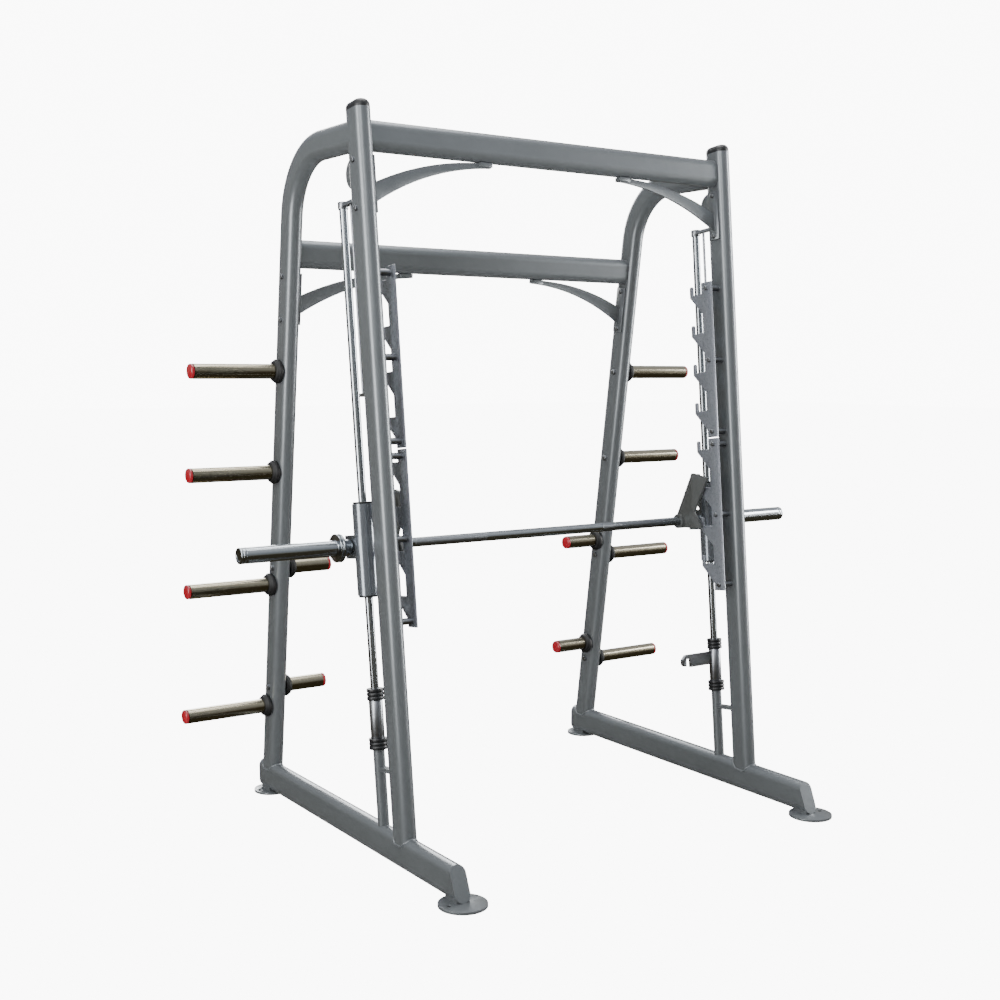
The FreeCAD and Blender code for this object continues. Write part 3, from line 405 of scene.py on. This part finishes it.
def show_piece(name, mesh, nodes, finish, body=None):
    """Link a finished mesh as a piece that stands for CAD nodes, on their body and from their slot."""
    mesh.materials.append(finishes[finish])
    piece = bpy.data.objects.new(name, mesh)
    bpy.context.scene.collection.objects.link(piece)
    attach(piece, body or body_of[nodes[0]])
    if body is None:
        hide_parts(*nodes)
    return piece


def ease_edges(node, width, finish):
    """Copy a node's mesh, merge its triangles into faces and bevel the edges sharper than 32
    degrees by this many millimetres."""
    shape = bmesh.new()
    shape.from_mesh(frame["nodes"][node].data)
    bmesh.ops.remove_doubles(shape, verts=shape.verts, dist=0.01 * MM)
    bmesh.ops.dissolve_limit(shape, angle_limit=FLAT, verts=shape.verts, edges=shape.edges)
    mesh = bpy.data.meshes.new(f"eased_{node}")
    shape.to_mesh(mesh)
    shape.free()
    mesh.materials.clear()
    mesh.shade_smooth()
    piece = show_piece(f"eased_{node}", mesh, [node], finish)
    bevel = piece.modifiers.new("eased edges", "BEVEL")
    bevel.width = width * MM
    bevel.segments = 2
    bevel.limit_method = "ANGLE"
    bevel.angle_limit = SHARP
    bevel.harden_normals = True
    return piece


for node, width in EASED.items():
    ease_edges(node, width, BY_SLOT[slot_of[node]])
print("plates eased:", len(EASED))

# %% [markdown]
# Turned pieces come next: caps, collars, rings, flanges and the bar. Each is a profile carried round
# an axis. A grid of two parameters holds it, the distance along the profile and the angle, and numpy
# works out every point at once.

# %% Carry a profile round an axis
def rounded(corners, radius, steps=4):
    """Round a profile of (along, radius) corners in millimetres. Each inner corner becomes a
    quadratic curve P = (1-t)^2 A + 2t(1-t) C + t^2 B, where A and B lie this far from corner C, or
    half a side where the side is short."""
    pts = np.array(corners, float)
    before, at, after = pts[:-2], pts[1:-1], pts[2:]
    back, ahead = before - at, after - at
    back_long = np.linalg.norm(back, axis=1, keepdims=True)
    ahead_long = np.linalg.norm(ahead, axis=1, keepdims=True)
    a = at + back / back_long * np.minimum(radius, back_long / 2)
    b = at + ahead / ahead_long * np.minimum(radius, ahead_long / 2)
    t = np.linspace(0, 1, steps)[None, :, None]
    curves = (1 - t) ** 2 * a[:, None] + 2 * t * (1 - t) * at[:, None] + t ** 2 * b[:, None]
    return np.vstack([pts[:1], curves.reshape(-1, 2), pts[-1:]])


def turned(profile, centre, axis, around=40, shape=None):
    """Points and faces of a surface of revolution. Row i, column j is centre + along_i * axis +
    radius_i * (cos a_j * across + sin a_j * over), times shape(a_j) where the section isn't round.
    Ends whose radius is zero close into poles."""
    axis = np.array(axis, float) / np.linalg.norm(axis)
    across = np.cross(axis, [0.0, 0.0, 1.0] if abs(axis[2]) < 0.9 else [1.0, 0.0, 0.0])
    across /= np.linalg.norm(across)
    over = np.cross(axis, across)
    angle = np.linspace(0, 2 * math.pi, around, endpoint=False)
    spoke = np.cos(angle)[:, None] * across + np.sin(angle)[:, None] * over
    if shape is not None:
        spoke = spoke * shape(angle)[:, None]
    along, radius = np.array(profile, float).T * MM
    points = np.array(centre) + along[:, None, None] * axis + radius[:, None, None] * spoke
    rows = len(along)
    i, j = np.meshgrid(np.arange(rows - 1), np.arange(around), indexing="ij")
    k = (j + 1) % around
    faces = np.stack([i * around + j, i * around + k, (i + 1) * around + k, (i + 1) * around + j], -1)
    return points.reshape(-1, 3), faces.reshape(-1, 4)


def merge(name, surfaces):
    """One mesh from several grids of points and faces. Doubled points at poles are merged, and the
    faces are turned to point outwards."""
    offsets = np.cumsum([0] + [len(points) for points, _ in surfaces[:-1]])
    points = np.vstack([points for points, _ in surfaces])
    faces = np.vstack([faces + offset for (_, faces), offset in zip(surfaces, offsets)])
    mesh = bpy.data.meshes.new(name)
    mesh.from_pydata(points.tolist(), [], faces.tolist())
    shape = bmesh.new()
    shape.from_mesh(mesh)
    bmesh.ops.remove_doubles(shape, verts=shape.verts, dist=0.005 * MM)
    bmesh.ops.recalc_face_normals(shape, faces=shape.faces)
    shape.to_mesh(mesh)
    shape.free()
    mesh.shade_smooth()
    mesh.set_sharp_from_angle(angle=SHARP)
    return mesh


print("a rounded square corner has", len(rounded([(0, 0), (0, 5), (5, 5)], 2)), "points")

# %% [markdown]
# Twelve chrome horns hold the spare plates. Each has a rubber collar against the upright, which the
# plates lean on, and a red plug pressed into its end. One CAD node holds all twelve collars and
# another all twelve plugs, so their places come from the node's separate solids.

# %% Horn caps and collars
def solids_of(node):
    """Centre and size of each separate solid in a node, from the corners of its islands."""
    shape = bmesh.new()
    shape.from_mesh(frame["nodes"][node].data)
    bmesh.ops.remove_doubles(shape, verts=shape.verts, dist=0.01 * MM)
    shape.verts.ensure_lookup_table()
    label = np.full(len(shape.verts), -1)
    count = 0
    for start in range(len(shape.verts)):
        if label[start] >= 0:
            continue
        label[start] = count
        stack = [shape.verts[start]]
        while stack:
            for edge in stack.pop().link_edges:
                for vertex in edge.verts:
                    if label[vertex.index] < 0:
                        label[vertex.index] = count
                        stack.append(vertex)
        count += 1
    points = np.array([vertex.co[:] for vertex in shape.verts])
    shape.free()
    boxes = [(points[label == n].min(0), points[label == n].max(0)) for n in range(count)]
    return [((low + high) / 2, high - low) for low, high in boxes]


def outward_of(centre, inward=False):
    """The direction along the bar that points away from the machine's middle, or towards it."""
    return ALONG_BAR * math.copysign(1.0, centre[0]) * (-1 if inward else 1)


HORN_RADIUS, CAP_DOME, RING_EASE = 24.0, 6.0, 3.0
CAP_CROWN, CAP_SLOPE = 3.0, 9.0
COLLAR_LIP, COLLAR_STEP, COLLAR_NOSE = 2.0, 3.0, 7.0
COLLAR_CREST, COLLAR_SHOULDER = 0.1, 0.3
OUTER_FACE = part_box("front_upright_right")[1][0]
caps, collars = [], []
for centre, size in solids_of("horn_caps"):
    way = outward_of(centre, abs(centre[0]) < OUTER_FACE)
    half = size[0] / MM / 2
    shoulder = [(-half, 0), (-half, HORN_RADIUS), (half - CAP_CROWN, HORN_RADIUS),
                (half, HORN_RADIUS - CAP_SLOPE), (half, 0)]
    caps.append(turned(rounded(shoulder, CAP_DOME), centre, way))
for centre, size in solids_of("horn_collars"):
    way = outward_of(centre, abs(centre[0]) < OUTER_FACE)
    half, reach = size[0] / MM / 2, size[2] / MM / 2
    ring = [(-half, 0), (-half, reach - COLLAR_LIP), (half * COLLAR_CREST, reach),
            (half * COLLAR_SHOULDER, reach - COLLAR_STEP), (half, reach - COLLAR_NOSE), (half, 0)]
    collars.append(turned(rounded(ring, RING_EASE), centre, way))
show_piece("domed_horn_caps", merge("domed_horn_caps", caps), ["horn_caps"],
           "red acrylonitrile plastic")
show_piece("rubber_collars", merge("rubber_collars", collars), ["horn_collars"], "black rubber")
print("caps:", len(caps), "collars:", len(collars))

# %% [markdown]
# A hexagon head is a round profile whose radius swells towards six corners. Its section is the
# distance to the nearest flat, 1 / cos(angle from that flat), and a round washer sits under it.

# %% Hexagon bolts with washers
def hexagon(angle):
    """Distance from the axis to a hexagon's side, where each side is 1 away: the angle is folded
    into the sixth of a turn around each side's middle."""
    folded = (angle + math.pi / 6) % (math.pi / 3) - math.pi / 6
    return 1 / np.cos(folded)


HEX_FLAT = math.cos(math.pi / 6)
HEAD_WIDTH, WASHER_TOP = 0.86, -0.5
CHAMFER_START, CHAMFER_WIDTH = 0.8, 0.88
WASHER_EASE, HEAD_EASE, BOLT_ROUND = 0.5, 0.4, 36
heads = {}
for node in ("horn_bolts", "arch_bolts", "rack_bolts"):
    surfaces = []
    for centre, size in solids_of(node):
        way = outward_of(centre, abs(centre[0]) < OUTER_FACE)
        half, reach = size[0] / MM / 2, size[2] / MM / 2
        seat, flat = half * WASHER_TOP, reach * HEAD_WIDTH * HEX_FLAT
        washer = [(-half, 0), (-half, reach), (seat, reach), (seat, 0)]
        crown = [(seat, 0), (seat, flat), (half * CHAMFER_START, flat), (half, flat * CHAMFER_WIDTH),
                 (half, 0)]
        surfaces.append(turned(rounded(washer, WASHER_EASE, 3), centre, way, BOLT_ROUND))
        surfaces.append(turned(rounded(crown, HEAD_EASE, 3), centre, way, BOLT_ROUND, hexagon))
    heads[node] = len(surfaces) // 2
    show_piece(f"hex_{node}", merge(f"hex_{node}", surfaces), [node], "zinc plate")
print("bolt heads:", heads)

# %% [markdown]
# Each plate sleeve is a chrome tube with a stop ring and a narrower neck behind it, and a turned
# groove near its open end. Corners that a hand or a plate meets are rounded.

# %% Plate sleeves
SLEEVE_RADIUS, STOP_RADIUS, NECK_RADIUS = 24.0, 43.0, 24.5
STOP_THICK, STOP_GROOVE = 18.0, 5.0
END_GROOVE_FROM, END_GROOVE_TO, END_GROOVE_DEPTH = 12.0, 9.0, 1.2
PLUG_RIM, PLUG_FLOOR, PLUG_SINK = 7.0, 9.0, 2.0
SLEEVE_EASE, PLUG_EASE, SLEEVE_ROUND = 2.5, 2.0, 56
for side in ("left", "right"):
    low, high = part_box(f"sleeve_{side}")
    way = 1 if side == "right" else -1
    near, far = sorted((abs(low[0]), abs(high[0])))
    length = (far - near) / MM
    stop = length - mount_length[f"bar_sleeve_{side}"]
    back = stop - STOP_THICK
    start = BAR_CENTRE + ALONG_BAR * way * near
    profile = [(0, 0), (0, NECK_RADIUS), (back, NECK_RADIUS), (back, STOP_RADIUS),
               (stop - 0.62 * STOP_THICK, STOP_RADIUS),
               (stop - 0.5 * STOP_THICK, STOP_RADIUS - STOP_GROOVE),
               (stop - 0.38 * STOP_THICK, STOP_RADIUS), (stop, STOP_RADIUS), (stop, SLEEVE_RADIUS),
               (length - END_GROOVE_FROM, SLEEVE_RADIUS),
               (length - (END_GROOVE_FROM + END_GROOVE_TO) / 2, SLEEVE_RADIUS - END_GROOVE_DEPTH),
               (length - END_GROOVE_TO, SLEEVE_RADIUS), (length, SLEEVE_RADIUS), (length, 0)]
    tube = turned(rounded(profile, SLEEVE_EASE), start, ALONG_BAR * way, SLEEVE_ROUND)
    show_piece(f"turned_sleeve_{side}", merge(f"turned_sleeve_{side}", [tube]), [f"sleeve_{side}"],
               "hard chrome")
    low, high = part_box(f"sleeve_cap_{side}")
    thick = (high[0] - low[0]) / MM
    middle = BAR_CENTRE + ALONG_BAR * (low[0] + high[0] - 2 * BAR_CENTRE[0]) / 2
    face = [(-thick / 2, 0), (-thick / 2, SLEEVE_RADIUS), (thick / 2, SLEEVE_RADIUS),
            (thick / 2, SLEEVE_RADIUS - PLUG_RIM), (thick / 2 - PLUG_SINK, SLEEVE_RADIUS - PLUG_FLOOR),
            (thick / 2 - PLUG_SINK, 0)]
    plug = turned(rounded(face, PLUG_EASE), middle, ALONG_BAR * way, SLEEVE_ROUND)
    show_piece(f"sleeve_plug_{side}", merge(f"sleeve_plug_{side}", [plug]), [f"sleeve_cap_{side}"],
               "hard chrome")
    print(side, "sleeve", round(length, 1), "mm, stop at", round(stop, 1))

# %% [markdown]
# The bar's grip zones are knurled: two sets of grooves wind round it in opposite directions and
# leave small diamonds. The relief is a height over two parameters, the place along the bar and the
# angle, and it is the lower of two ridged waves that run along the two helices. Real knurls are
# about 1.2 mm apart; these are 4 mm, so that they show.

# %% Knurled bar
BAR_RADIUS, KNURL_PITCH, KNURL_DEPTH = 15.0, 4.0, 0.5
PLAIN_HALF, GRIP_END = 235.0, 504.0
BAR_ROUND = 96
bar_low, bar_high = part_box("bar_shaft")
BAR_HALF = (bar_high[0] - bar_low[0]) / MM / 2
STARTS = round(2 * math.pi * BAR_RADIUS / KNURL_PITCH)


def ridge(phase):
    """A triangle wave from 0 in the groove to 1 on the ridge, once for each whole turn of phase."""
    return 1 - np.abs(2 * (phase % 1.0) - 1)


def knurled_zone(start, end, around=BAR_ROUND):
    """A stretch of bar. Radius = bar radius - depth * (1 - lower of the two ridges), and the relief
    fades out over the last pitch at each end."""
    along = np.linspace(start, end, int((end - start) / (KNURL_PITCH / 4)) + 1)
    angle = np.linspace(0, 2 * math.pi, around, endpoint=False)
    s, a = np.meshgrid(along, angle, indexing="ij")
    turn = STARTS * a / (2 * math.pi)
    height = np.minimum(ridge(turn + s / KNURL_PITCH), ridge(turn - s / KNURL_PITCH))
    fade = np.clip(np.minimum(s - start, end - s) / KNURL_PITCH, 0, 1)
    radius = (BAR_RADIUS - KNURL_DEPTH * fade * (1 - height)) * MM
    points = (BAR_CENTRE + (s * MM)[..., None] * ALONG_BAR + (radius * np.cos(a))[..., None] * FRONT_BACK
              + (radius * np.sin(a))[..., None] * FRONT_UP)
    i, j = np.meshgrid(np.arange(len(along) - 1), np.arange(around), indexing="ij")
    k = (j + 1) % around
    faces = np.stack([i * around + j, (i + 1) * around + j, (i + 1) * around + k, i * around + k], -1)
    return points.reshape(-1, 3), faces.reshape(-1, 4)


print("knurl starts round the bar:", STARTS)

# %% [markdown]
# The bar is one piece of steel, but its stretches are finished differently: a smooth middle, a
# knurled grip each side, and smooth journals that turn in the carriages. Each stretch is a closed
# surface of its own, so each takes one finish.

# %% The bar's five stretches
def plain_zone(start, end):
    """A smooth stretch of bar with flat, closed ends."""
    profile = [(start, 0), (start, BAR_RADIUS), (end, BAR_RADIUS), (end, 0)]
    return turned(profile, BAR_CENTRE, ALONG_BAR, BAR_ROUND)


def closed_zone(start, end):
    """A knurled stretch with discs over its two ends."""
    ends = [turned([(x, 0), (x, BAR_RADIUS)], BAR_CENTRE, ALONG_BAR, BAR_ROUND)
            for x in (start, end)]
    return [knurled_zone(start, end), *ends]


show_piece("bar_middle", merge("bar_middle", [plain_zone(-PLAIN_HALF, PLAIN_HALF)]), ["bar_shaft"],
           "hard chrome")
for side, way in (("left", -1), ("right", 1)):
    grip = sorted((way * PLAIN_HALF, way * GRIP_END))
    outer = sorted((way * GRIP_END, way * BAR_HALF))
    show_piece(f"bar_grip_{side}", merge(f"bar_grip_{side}", closed_zone(*grip)), ["bar_shaft"],
               "knurled steel", body="bar")
    show_piece(f"bar_journal_{side}", merge(f"bar_journal_{side}", [plain_zone(*outer)]), ["bar_shaft"],
               "hard chrome", body="bar")
print("bar length:", round(2 * BAR_HALF, 1), "mm")

# %% [markdown]
# A nylon seal closes each end of the carriages' bearings and wipes dust from the rod. It is a flat
# ring with well rounded edges, so its section is a rectangle from the bore out and back.

# %% Bearing seals
SEAL_THICK, SEAL_REACH, SEAL_BORE, SEAL_EASE = 6.0, 29.0, 13.0, 2.0
face = SEAL_THICK / 2
ring = [(-face, SEAL_BORE), (-face, SEAL_REACH), (face, SEAL_REACH), (face, SEAL_BORE),
        (-face, SEAL_BORE)]
seals = [turned(rounded(ring, SEAL_EASE), centre, FRONT_UP)
         for centre, _ in solids_of("bearing_seals")]
show_piece("rounded_seals", merge("rounded_seals", seals), ["bearing_seals"], "black nylon")
print("seals:", len(seals))

# %% [markdown]
# Each stopper is two nylon rings joined by a thinner sleeve, which its catch turns on. Each ring has
# two shallow grooves for the fingers that slide it along the rod.

# %% Grip rings on the stoppers
GROOVE_MOUTH, GROOVE_FLOOR, GROOVE_DEPTH = 2.5, 1.2, 1.8


def ring_profile(start, end, bore, reach, grooves):
    """A ring's section in millimetres from its start along the rod: out, along the rim with this
    many shallow grooves, and back down to the bore."""
    rim = [(start, bore), (start, reach)]
    for number in range(1, grooves + 1):
        middle = start + (end - start) * number / (grooves + 1)
        rim += [(middle - GROOVE_MOUTH, reach), (middle - GROOVE_FLOOR, reach - GROOVE_DEPTH),
                (middle + GROOVE_FLOOR, reach - GROOVE_DEPTH), (middle + GROOVE_MOUTH, reach)]
    return rim + [(end, reach), (end, bore), (start, bore)]


LINER_BORE, LINER_REACH = 12.6, 18.0
LOW_RING, CATCH_SLEEVE, HIGH_RING = 34.0, 116.0, 35.0
LOW_REACH, HIGH_REACH = 28.5, 26.0
GROOVES, STOPPER_EASE, STOPPER_ROUND = 2, 1.5, 48
total = LOW_RING + CATCH_SLEEVE + HIGH_RING
for side in ("left", "right"):
    low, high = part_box(f"stopper_guide_{side}")
    centre = (np.array(low) + np.array(high)) / 2
    foot = centre - FRONT_UP * total / 2 * MM
    shapes = [ring_profile(0, LOW_RING, LINER_BORE, LOW_REACH, GROOVES),
              ring_profile(total - HIGH_RING, total, LINER_BORE, HIGH_REACH, GROOVES),
              [(LOW_RING, LINER_BORE), (LOW_RING, LINER_REACH), (total - HIGH_RING, LINER_REACH),
               (total - HIGH_RING, LINER_BORE), (LOW_RING, LINER_BORE)]]
    rings = [turned(rounded(shape, STOPPER_EASE, 3), foot, FRONT_UP, STOPPER_ROUND)
             for shape in shapes]
    show_piece(f"stopper_rings_{side}", merge(f"stopper_rings_{side}", rings),
               [f"stopper_guide_{side}"], "black nylon")
print("stopper length:", total, "mm")

# %% [markdown]
# The frame is welded where tubes meet, and the coat goes over the weld. A bead is a small round
# section carried along the joint, whose radius swells and narrows every few millimetres as each
# puddle of metal froze.

# %% Weld beads
BEAD_RADIUS, RIPPLE, SWELL = 3.0, 5.0, 0.14


def bead(path, around=8):
    """A tube along a closed path of points in metres. Its radius is bead radius * (1 + swell *
    cosine of the way along, once each ripple), and its section stands square to the path: one side
    vector is the path's tangent crossed with the mean normal of the loop."""
    step = np.roll(path, -1, axis=0) - np.roll(path, 1, axis=0)
    tangent = step / np.linalg.norm(step, axis=1, keepdims=True)
    normal = np.cross(path - path.mean(0), tangent).mean(0)
    normal /= np.linalg.norm(normal)
    first = np.cross(tangent, normal)
    first /= np.linalg.norm(first, axis=1, keepdims=True)
    second = np.cross(tangent, first)
    way = np.cumsum(np.linalg.norm(path - np.roll(path, 1, axis=0), axis=1))
    radius = BEAD_RADIUS * MM * (1 + SWELL * np.cos(2 * math.pi * way / (RIPPLE * MM)))
    angle = np.linspace(0, 2 * math.pi, around, endpoint=False)
    points = (path[:, None] + (radius[:, None] * np.cos(angle))[..., None] * first[:, None]
              + (radius[:, None] * np.sin(angle))[..., None] * second[:, None])
    rows = len(path)
    i, j = np.meshgrid(np.arange(rows), np.arange(around), indexing="ij")
    n, k = (i + 1) % rows, (j + 1) % around
    faces = np.stack([i * around + j, n * around + j, n * around + k, i * around + k], -1)
    return points.reshape(-1, 3), faces.reshape(-1, 4)


def oval_loop(width, depth, points=220):
    """Points evenly spaced round a flat oval, in millimetres: a half round, a flank, the other half
    round and the other flank, found by walking the outline's length."""
    half, flank = width / 2, depth - width
    arc = math.pi * half
    way = np.linspace(0, 2 * (arc + flank), points, endpoint=False)
    first = way < arc
    second = (way >= arc) & (way < arc + flank)
    third = (way >= arc + flank) & (way < 2 * arc + flank)
    a1, a3 = way / half, (way - arc - flank) / half
    x = np.select([first, second, third], [half * np.cos(a1), -half, -half * np.cos(a3)], half)
    y = np.select([first, second, third], [flank / 2 + half * np.sin(a1), flank / 2 - (way - arc),
                                           -flank / 2 - half * np.sin(a3)],
                  -flank / 2 + (way - 2 * arc - flank))
    return x, y


print("bead width and ripple length, mm:", 2 * BEAD_RADIUS, RIPPLE)

# %% [markdown]
# The uprights are flat ovals with coped ends: each end is cut to follow the rounded top of the beam.
# So the weld's path is the oval, which drops away to both sides with the beam's own curve, and it
# shifts along the upright's lean as it drops.

# %% Lay a bead round each foot
low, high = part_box("front_upright_right")
TUBE_WIDTH = (high[0] - low[0]) / MM
TUBE_DEPTH = 88.0
x, y = oval_loop(TUBE_WIDTH, TUBE_DEPTH)
beads = []
rise = np.sqrt(np.clip((TUBE_WIDTH / 2) ** 2 - x ** 2, 0, None)) - TUBE_WIDTH / 2
for side, way in (("left", -1), ("right", 1)):
    middle_x = way * (low[0] + high[0]) / 2
    for up, foot_y in ((FRONT_UP, FRONT_FOOT), (REAR_UP, REAR_FOOT)):
        path = np.stack([middle_x / MM + x, foot_y / MM + y / up[2] + rise / up[2] * up[1],
                         BEAM_TOP / MM + rise], -1)
        beads.append(bead(path * MM))
show_piece("foot_welds", merge("foot_welds", beads), ["floor_beam_left"], "silver powder coat",
           body="frame")
print("weld beads:", len(beads))
